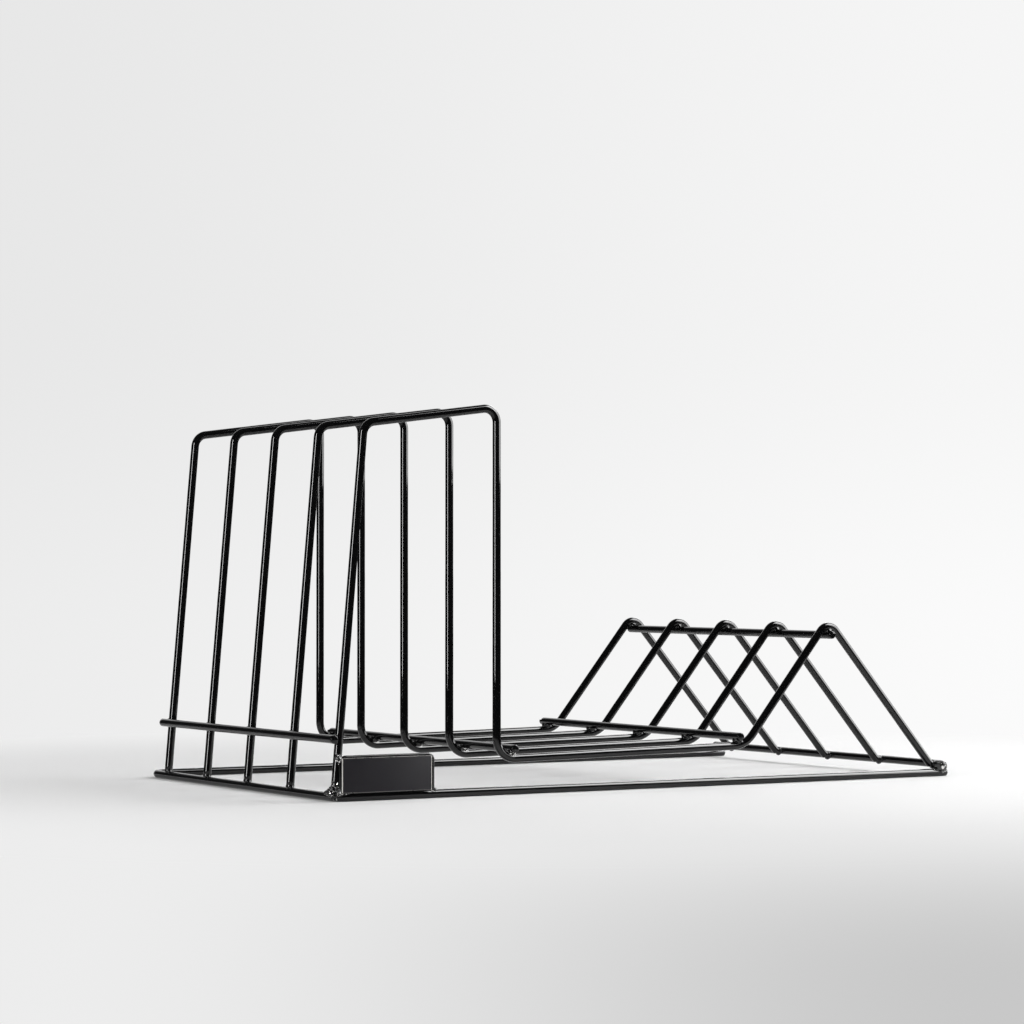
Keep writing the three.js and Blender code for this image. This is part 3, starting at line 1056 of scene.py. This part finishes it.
@dataclass
class Welds:
    """All the welds of the rack.

    Args:
        wires: the finished wires by their CAD node.
        coat: the material of the smooth welds.
        rough_coat: the material of the rough ones.
        dome_coat: the material of the two at the ends of the base's right rod.
    """

    wires: dict[str, bpy.types.Object]
    coat: bpy.types.Material
    rough_coat: bpy.types.Material
    dome_coat: bpy.types.Material

    def build(self) -> None:
        """Models each kind of weld once and sets it wherever the rack has it."""
        self._each_row("fence", "fence_rod", spread=0.85, ripple=0.00015)
        self._each_row("tray_left", "tray_left_rod", spread=1.0, ripple=0.0003, rough_rows=(1, 2))
        self._each_row("tray_right", "tray_right_rod", spread=1.0, ripple=0.0002)
        self._each_row("peak", "peak_rod", spread=0.95, ripple=0.0002)
        self._each_row("right", "base_right_rod", spread=0.9, ripple=0.0002)
        self._each_row("foot", "base_wire", spread=0.8, ripple=0.0001)
        self._front_corner()
        self._front_dome()
        self._back_dome()
        self._frame_tack()
        self._frame_foot()

    def _wires(self, *nodes: str) -> list[bpy.types.Object]:
        """Returns the finished wires that stand for these CAD nodes."""
        return [self.wires[node] for node in nodes]

    def _each_row(
        self, kind: str, rod: str, spread: float, ripple: float, rough_rows: tuple[int, ...] = ()
    ) -> None:
        """Joins every bent wire to one rod, but for the front hoop's foot, whose weld is made apart.

        Args:
            kind: the weld's kind, as in its CAD nodes' names.
            rod: the CAD node of the rod.
            spread: how far the metal spreads, where 1 fills the CAD weld's box.
            ripple: how high its ripples are.
            rough_rows: the rows where it came out rough.
        """
        first = 2 if kind == "foot" else 1
        lump = Lump.of_node(f"weld_{kind}_{first}", spread)
        wires = self._wires(f"profile_wire_{first}", rod)
        weld = FusedWeld(f"{kind}_weld", f"weld_{kind}", wires, [lump], ripple=ripple)
        skin = weld.shape()
        offset = middle("profile_wire_1") - middle(f"profile_wire_{first}")
        skin.data.transform(Matrix.Translation(offset))
        for row in ROWS[first - 1:]:
            weld.place(skin, row, self.rough_coat if row in rough_rows else self.coat)
        bpy.data.objects.remove(skin)

    def _once(self, weld: FusedWeld, coat: bpy.types.Material) -> None:
        """Models and sets a weld that the rack has once.

        Args:
            weld: the weld.
            coat: its material.
        """
        skin = weld.shape()
        weld.place(skin, None, coat)
        bpy.data.objects.remove(skin)

    def _front_corner(self) -> None:
        """The spiky lump where the front hoop and the plate's frame stand on the base's corner."""
        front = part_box("weld_foot_1")[0].y
        leg = Vector((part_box("profile_wire_1")[0].x + WIRE_RADIUS, middle("profile_wire_1").y, 0))
        frame_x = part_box("plate_frame_wire")[0].x + FRAME_WIRE_RADIUS
        frame_foot = Vector((frame_x, middle("plate_frame_wire").y, 0.0046))
        round_leg = Lump(Vector((leg.x, leg.y, 0.0050)), Vector((0.0027, 0.0027, 0.0034)))
        on_corner = Lump(Vector((leg.x - 0.0008, leg.y, 0.0036)), Vector((0.0031, 0.0027, 0.0019)))
        front_toe = Lump(Vector((leg.x + 0.0026, leg.y - 0.0024, 0.0038)), Vector((0.0026, 0.0015, 0.0012)))
        left_slope = Lump(Vector((leg.x - 0.0004, leg.y + 0.0024, 0.0045)), Vector((0.0022, 0.0028, 0.0020)))
        left_toe = Lump(Vector((leg.x - 0.0004, leg.y + 0.0046, 0.0039)), Vector((0.0020, 0.0036, 0.0013)))
        round_frame = Lump(frame_foot, Vector((0.0018, 0.0014, 0.0013)))
        corner_drop = Lump(Vector((leg.x - 0.0012, front - 0.0001, 0.0031)), Vector((0.0004, 0.0004, 0.0003)))
        toe_drop = Lump(Vector((leg.x + 0.0052, leg.y - 0.0038, 0.0036)), Vector((0.0004, 0.0003, 0.0003)))
        lumps = [round_leg, on_corner, front_toe, left_slope, left_toe, round_frame]
        wires = self._wires("profile_wire_1", "base_wire", "plate_frame_wire")
        weld = FusedWeld(
            "front_corner_weld", "weld_foot_1", wires, lumps, melt=5, ripple=0.0009, ripple_pitch=0.0009,
            droplets=(corner_drop, toe_drop),
        )
        self._once(weld, self.rough_coat)

    def _front_dome(self) -> None:
        """The dome that hides the near end of the base's right rod."""
        half_width, half_depth, shift = 0.0038, 0.0024, 0.0004
        low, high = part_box("weld_base_front")
        half = Vector((half_width, half_depth, (high.z - low.z) / 2))
        dome = Lump(Vector(((low.x + high.x) / 2 + shift, low.y + half.y, (low.z + high.z) / 2)), half)
        wires = self._wires("base_wire", "base_right_rod")
        weld = FusedWeld("front_dome_weld", "weld_base_front", wires, [dome], melt=12, ripple=0.0004)
        self._once(weld, self.dome_coat)

    def _back_dome(self) -> None:
        """The bead where the base's right rod lies on the far end of the base wire."""
        wires = self._wires("base_wire", "base_right_rod")
        bead = Lump.of_node("weld_base_back")
        self._once(FusedWeld("back_bead_weld", "weld_base_back", wires, [bead], melt=8), self.dome_coat)

    def _frame_tack(self) -> None:
        """The tack that holds the plate's frame to the front hoop's leg."""
        shift, half = Vector((0.0003, 0, 0.0014)), Vector((0.0018, 0.0015, 0.0017))
        lump = Lump(middle("weld_frame_top") + shift, half)
        wires = self._wires("profile_wire_1", "plate_frame_wire")
        weld = FusedWeld("frame_tack_weld", "weld_frame_top", wires, [lump], melt=6, ripple=0.0005)
        self._once(weld, self.rough_coat)

    def _frame_foot(self) -> None:
        """The bead where the frame's right upright stands on the base."""
        shift, half = Vector((-0.0006, 0, 0)), Vector((0.0016, 0.0014, 0.001))
        lump = Lump(middle("weld_frame_foot") + shift, half)
        wires = self._wires("base_wire", "plate_frame_wire")
        self._once(FusedWeld("frame_foot_weld", "weld_frame_foot", wires, [lump], melt=6), self.rough_coat)


@dataclass
class PlateAndFrame:
    """The small bare plate at the front corner, in its frame of thin wire.

    Args:
        frame_bend: the radius that the frame's wire is bent to at its upper corners.
        cad_sides: how many flats the CAD's frame wire has, each as far out as the real wire's radius.
        corner_round: the radius of the plate's corners.
        corner_faces: how many faces each of those corners takes.
        chamfer: how wide the bare chamfer round the plate's front is.
        chamfer_faces: how many faces it has across.
        crease: the least angle between two faces that still shows as an edge.
        top_clear: how far the plate's top stays below its CAD box.
        bottom_drop: how far its bottom goes below that box, down to the base.
    """

    frame_bend: float = 0.0024
    cad_sides: int = 8
    corner_round: float = 0.0005
    corner_faces: int = 8
    chamfer: float = 0.00035
    chamfer_faces: int = 2
    crease: float = math.radians(30)
    top_clear: float = 0.0005
    bottom_drop: float = 0.0005

    def build_frame(self, coat: bpy.types.Material) -> bpy.types.Object:
        """Models and dresses the frame's wire.

        Args:
            coat: its material.

        Returns:
            The wire's object.
        """
        low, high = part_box("plate_frame_wire")
        radius = (high.y - low.y) / 2 * math.cos(math.pi / self.cad_sides)
        y = middle("plate_frame_wire").y
        left, right, top = low.x + radius, high.x - radius, high.z - radius
        corners = [
            Corner(Vector((left, y, low.z))),
            Corner(Vector((left, y, top)), self.frame_bend),
            Corner(Vector((right, y, top)), self.frame_bend),
            Corner(Vector((right, y, low.z))),
        ]
        wire = BentWire(
            "plate_frame", corners, radius, sides=20, ring_pitch=0.002, end_round=0.0002, coat_grain=0.006
        )
        return dress(wire.model(), coat, Slot.GLOSS, "plate_frame_wire")

    def build_plate(self, face: bpy.types.Material, *edges: bpy.types.Material) -> bpy.types.Object:
        """Models the plate with its bare chamfer and dresses it.

        Args:
            face: the material of the plate.
            edges: the materials of its upright chamfers, pale bare metal that is partly a painted highlight,
                and of its level chamfers, a darker copy of that edge that is painted shade.

        Returns:
            The plate's object.
        """
        straight_ahead, sideways, upright = -0.95, -0.2, 0.3
        low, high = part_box("front_plate")
        low.z -= self.bottom_drop
        high.z -= self.top_clear
        deselect_all()
        bpy.ops.mesh.primitive_cube_add(size=1, location=(low + high) / 2, scale=high - low)
        plate = bpy.context.active_object
        plate.name = plate.data.name = "bare_plate"
        settle_transform()
        select_edges(plate, lambda a, b: abs(a.y - b.y) > (high.y - low.y) / 2)
        bpy.ops.mesh.bevel(offset=self.corner_round, segments=self.corner_faces, affect="EDGES")
        bpy.ops.object.mode_set(mode="OBJECT")
        near = (high.y - low.y) / 4
        select_edges(plate, lambda a, b: max(a.y, b.y) < low.y + near or min(a.y, b.y) > high.y - near)
        bpy.ops.mesh.bevel(offset=self.chamfer, segments=self.chamfer_faces, affect="EDGES")
        bpy.ops.object.mode_set(mode="OBJECT")
        for material in (face, *edges):
            plate.data.materials.append(material)
        # Upright chamfers get the pale edge, partly a painted highlight; level chamfers get its darker copy,
        # painted shade.
        for polygon in plate.data.polygons:
            if straight_ahead < polygon.normal.y < sideways:
                polygon.material_index = 1 if abs(polygon.normal.z) < upright else 2
        bpy.ops.object.shade_smooth_by_angle(angle=self.crease)
        return dress(plate, face, Slot.PLATE, "front_plate")


@dataclass(frozen=True)
class Softbox:
    """A flat soft lamp that faces the rack.

    Args:
        name: its name.
        towards: the direction in which it stands from the rack.
        distance: how far off it stands.
        width: its width.
        height: its height.
        radiance: how bright its face is, where 1 is white paper in plain light.
        gloss_only: whether it shows in gloss alone and lights nothing.
    """

    name: str
    towards: Vector
    distance: float
    width: float
    height: float
    radiance: float
    gloss_only: bool = False

    def build(self) -> None:
        """Adds the lamp, unseen by the camera itself."""
        data = bpy.data.lights.new(self.name, "AREA")
        data.shape = "RECTANGLE"
        data.size, data.size_y = self.width, self.height
        data.energy = self.radiance * math.pi * self.width * self.height
        lamp = bpy.data.objects.new(self.name, data)
        place = self.towards.normalized() * self.distance
        lamp.location = place
        lamp.rotation_euler = (-place).to_track_quat("-Z", "Y").to_euler()
        lamp.visible_camera = False
        lamp.visible_diffuse = not self.gloss_only
        bpy.context.scene.collection.objects.link(lamp)


SOFTBOXES = (
    Softbox("left_strip", Vector((-0.97, -0.24, 0.27)), distance=1.2, width=0.15, height=0.62, radiance=26.0),
    Softbox("right_softbox", Vector((0.85, -0.35, 0.36)), distance=1.5, width=1.5, height=0.75, radiance=6.3),
    Softbox(
        "overhead_softbox", Vector((0.66, -0.3, 0.68)), distance=1.5, width=0.8, height=0.8, radiance=3.6
    ),
    Softbox(
        "overhead_sheen", Vector((0.565, -0.345, 0.75)), distance=1.5, width=0.8, height=0.8, radiance=9.0,
        gloss_only=True,
    ),
    Softbox("back_softbox", Vector((1.10, 0.88, 0.83)), distance=1.64, width=0.7, height=0.5, radiance=5.0),
)


@dataclass(frozen=True)
class Studio:
    """A pale floor that runs into a pale backdrop, a dark room behind the camera, and soft lamps.

    Args:
        eye: where the camera stands.
        sight: the direction that it looks in.
        lens: its focal length in millimetres.
        sensor: its sensor's width in millimetres.
        floor_half: the floor's half width.
        floor_colour: how pale the floor is.
        mottle: how much paler or darker its cloudy places are.
        mottle_pitch: how far apart they are.
        lit_radius: how far from its middle the floor shows its own paint alone.
        mirror_radius: how far from its middle gloss shows that paint alone.
        far_radius: from where on the floor shows the backdrop or the dark room instead.
        backdrop_left: how white the backdrop is at the left of the picture.
        backdrop_right: how white it is at the right.
        backdrop_reach: how far to each side that change goes, as the sine of an angle.
        low_glow: how much whiter the backdrop is at its foot.
        glow_from: the slope, as a sine, below which it has that glow.
        glow_to: the slope above which it has none.
        shade_from: how far towards the camera the floor's painted shade starts.
        shade_to: how far towards it that painted shade is deepest.
        shade_reach: how far to each side the painted shade changes, as the sine of an angle.
        shade_depth: how deep the painted shade is at the right, where at the left there is none.
        wall_lift: how high the middle of the white wall is, as a slope.
        wall_full: the angle from its middle up to which the wall is fully white.
        wall_edge: the angle from its middle at which it ends.
        wall_white: how bright it shows in gloss.
        fill: how bright the room's general light is.
        dark_room: how bright the room shows in gloss.
    """

    eye: Vector = field(default_factory=lambda: Vector((-0.8644, -1.3999, 0.1090)))
    sight: Vector = field(default_factory=lambda: Vector((0.51585, 0.85653, 0.01635)))
    lens: float = 112.5
    sensor: float = 36.0
    floor_half: float = 30.0
    floor_colour: float = 0.835
    mottle: float = 0.005
    mottle_pitch: float = 0.2
    lit_radius: float = 0.22
    mirror_radius: float = 0.15
    far_radius: float = 0.5
    backdrop_left: float = 0.80
    backdrop_right: float = 0.92
    backdrop_reach: float = 0.2
    low_glow: float = 1.05
    glow_from: float = -0.03
    glow_to: float = 0.08
    shade_from: float = 0.07
    shade_to: float = 0.82
    shade_reach: float = 0.16
    shade_depth: float = 0.40
    wall_lift: float = 0.3
    wall_full: float = math.radians(26)
    wall_edge: float = math.radians(38)
    wall_white: float = 0.9
    fill: float = 0.27
    dark_room: float = 0.03

    def build(self) -> None:
        """Sets up the camera, the floor, the surround and the lamps."""
        self._camera()
        self._floor()
        self._surround()
        for softbox in SOFTBOXES:
            softbox.build()

    @property
    def side(self) -> Vector:
        """The direction to the right of the picture."""
        return self.sight.cross(UP).normalized()

    def _camera(self) -> None:
        """Puts the camera at the photograph's place and angle."""
        data = bpy.data.cameras.new("camera")
        data.lens = self.lens
        data.sensor_width = self.sensor
        camera = bpy.data.objects.new("camera", data)
        bpy.context.scene.collection.objects.link(camera)
        upward = self.side.cross(self.sight).normalized()
        turn = Matrix((self.side, upward, -self.sight.normalized())).transposed()
        camera.matrix_world = Matrix.Translation(self.eye) @ turn.to_4x4()
        bpy.context.scene.camera = camera

    def _backdrop(self, wiring: Wiring, direction: bpy.types.NodeSocket) -> bpy.types.NodeSocket:
        """Works out the backdrop's whiteness, with painted shade at the left and a painted glow at its foot.

        Args:
            wiring: the wiring of the tree that shows it.
            direction: the direction in which it is seen.

        Returns:
            Its whiteness, where 1 is white.
        """
        aside, rise = wiring.dot(direction, self.side), wiring.dot(direction, UP)
        reach = self.backdrop_reach
        # Painted shade towards the left and painted light at the foot of the backdrop.
        whiteness = wiring.ramp(aside, -reach, reach, self.backdrop_left, self.backdrop_right)
        glow = wiring.ramp(rise, self.glow_from, self.glow_to, self.low_glow, 1.0)
        return wiring.math("MULTIPLY", whiteness, glow)

    def _painted_floor_shade(
        self, wiring: Wiring, place: bpy.types.NodeSocket, direction: bpy.types.NodeSocket
    ) -> bpy.types.NodeSocket:
        """Works out the painted shade that darkens the floor towards the camera, most of all at the right.

        Args:
            wiring: the wiring of the floor's tree.
            place: the place on the floor.
            direction: the direction of that place from the camera.

        Returns:
            The share of its whiteness that the floor keeps under that painted shade.
        """
        aside, reach = wiring.dot(direction, self.side), self.shade_reach
        nearness = wiring.ramp(wiring.dot(place, -self.sight), self.shade_from, self.shade_to)
        depth = wiring.ramp(aside, -reach, reach, 0.0, self.shade_depth)
        return wiring.math("SUBTRACT", 1.0, wiring.math("MULTIPLY", nearness, depth))

    def _floor(self) -> None:
        """Lays the pale floor."""
        deselect_all()
        bpy.ops.mesh.primitive_plane_add(size=2 * self.floor_half)
        floor = bpy.context.active_object
        floor.name = "floor"
        floor.data.materials.append(self._floor_paint())

    def _floor_paint(self) -> bpy.types.Material:
        """Makes the floor's paint, which runs into the backdrop far off and carries painted shade towards the
        camera.

        Returns:
            The floor's material.
        """
        paint = bpy.data.materials.new("floor")
        paint.use_nodes = True
        wiring = Wiring(paint.node_tree)
        principled = paint.node_tree.nodes["Principled BSDF"]
        place = wiring.node("TexCoord").outputs["Object"]
        distance = wiring.node("VectorMath", operation="LENGTH")
        wiring.put(distance.inputs[0], place)
        far = distance.outputs["Value"]
        from_eye = wiring.node("VectorMath", operation="SUBTRACT")
        wiring.put(from_eye.inputs[0], place)
        from_eye.inputs[1].default_value = self.eye
        heading = wiring.node("VectorMath", operation="NORMALIZE")
        wiring.put(heading.inputs[0], from_eye.outputs["Vector"])
        direction = heading.outputs["Vector"]
        darkest, palest = self.floor_colour - self.mottle, self.floor_colour + self.mottle
        tone = wiring.ramp(wiring.noise(self.mottle_pitch), 0.0, 1.0, darkest, palest)
        # Painted shade: the floor darkens towards the camera, in its colour and in its glow.
        painted_floor_shade = self._painted_floor_shade(wiring, place, direction)
        shade = wiring.math("MULTIPLY", tone, painted_floor_shade)
        wiring.feed(principled, Base_Color=shade, Roughness=0.7, Specular_IOR_Level=0.1)
        rays = wiring.node("LightPath")
        camera, glossy = rays.outputs["Is Camera Ray"], rays.outputs["Is Glossy Ray"]
        seen = wiring.math("MULTIPLY", camera, wiring.ramp(far, self.lit_radius, self.far_radius))
        mirrored = wiring.math("MULTIPLY", glossy, wiring.ramp(far, self.mirror_radius, self.far_radius))
        glow = wiring.node("Emission")
        whiteness = wiring.math("MULTIPLY", self._backdrop(wiring, direction), painted_floor_shade)
        strength = wiring.math(
            "ADD", wiring.math("MULTIPLY", camera, whiteness), wiring.math("MULTIPLY", glossy, self.dark_room)
        )
        wiring.feed(glow, Strength=strength)
        blend = wiring.node("MixShader")
        wiring.put(blend.inputs[0], wiring.math("MAXIMUM", seen, mirrored))
        wiring.put(blend.inputs[1], principled.outputs["BSDF"])
        wiring.put(blend.inputs[2], glow.outputs["Emission"])
        wiring.put(paint.node_tree.nodes["Material Output"].inputs["Surface"], blend.outputs[0])
        return paint

    def _surround(self) -> None:
        """Makes the world: a backdrop to see, a white wall in a dark room for gloss, and a fill light."""
        world = bpy.data.worlds.new("surround")
        bpy.context.scene.world = world
        world.use_nodes = True
        wiring = Wiring(world.node_tree)
        direction = wiring.node("TexCoord").outputs["Generated"]
        rays = wiring.node("LightPath")
        wall = Vector((self.sight.x, self.sight.y, self.wall_lift)).normalized()
        lit = wiring.ramp(wiring.dot(direction, wall), math.cos(self.wall_edge), math.cos(self.wall_full))
        mirrored = wiring.ramp(lit, 0.0, 1.0, self.dark_room, self.wall_white)
        glossy = wiring.math("MAXIMUM", rays.outputs["Is Glossy Ray"], rays.outputs["Is Transmission Ray"])
        camera = rays.outputs["Is Camera Ray"]
        other = wiring.math("SUBTRACT", 1.0, wiring.math("MAXIMUM", camera, glossy))
        seen = wiring.math("MULTIPLY", camera, self._backdrop(wiring, direction))
        shown = wiring.math("ADD", seen, wiring.math("MULTIPLY", glossy, mirrored))
        strength = wiring.math("ADD", shown, wiring.math("MULTIPLY", other, self.fill))
        wiring.feed(world.node_tree.nodes["Background"], Strength=strength)
        world.node_tree.nodes["Background"].inputs["Color"].default_value = (1, 1, 1, 1)


def main() -> None:
    """Builds the rack from the floor up and then the studio round it."""
    logging.basicConfig(level=logging.INFO, format="%(message)s")
    bpy.context.scene.view_settings.view_transform = "Standard"
    effects = Effects()
    gloss, weld_coat = GLOSS_COAT.material(effects), WELD_COAT.material(effects)
    rough_weld_coat = ROUGH_WELD_COAT.material(effects)
    dome_coat = DOME_COAT.material(effects)
    plate_coats = [coat.material(effects) for coat in (PLATE_COAT, PLATE_EDGE_AND_HIGHLIGHT, PLATE_EDGE_PAINTED_SHADE)]
    wires = BaseFrame().build(gloss)
    for row in ROWS:
        wires[f"profile_wire_{row}"] = RacketWire(row).build(gloss)
    for node in ("fence_rod", "tray_left_rod", "tray_right_rod", "peak_rod"):
        wires[node] = dress(straight_rod(f"{node}_wire", node), gloss, Slot.GLOSS, node)
    label = PlateAndFrame()
    wires["plate_frame_wire"] = label.build_frame(gloss)
    label.build_plate(*plate_coats)
    Welds(wires, weld_coat, rough_weld_coat, dome_coat).build()
    Studio().build()


if __name__ == "__main__":
    main()
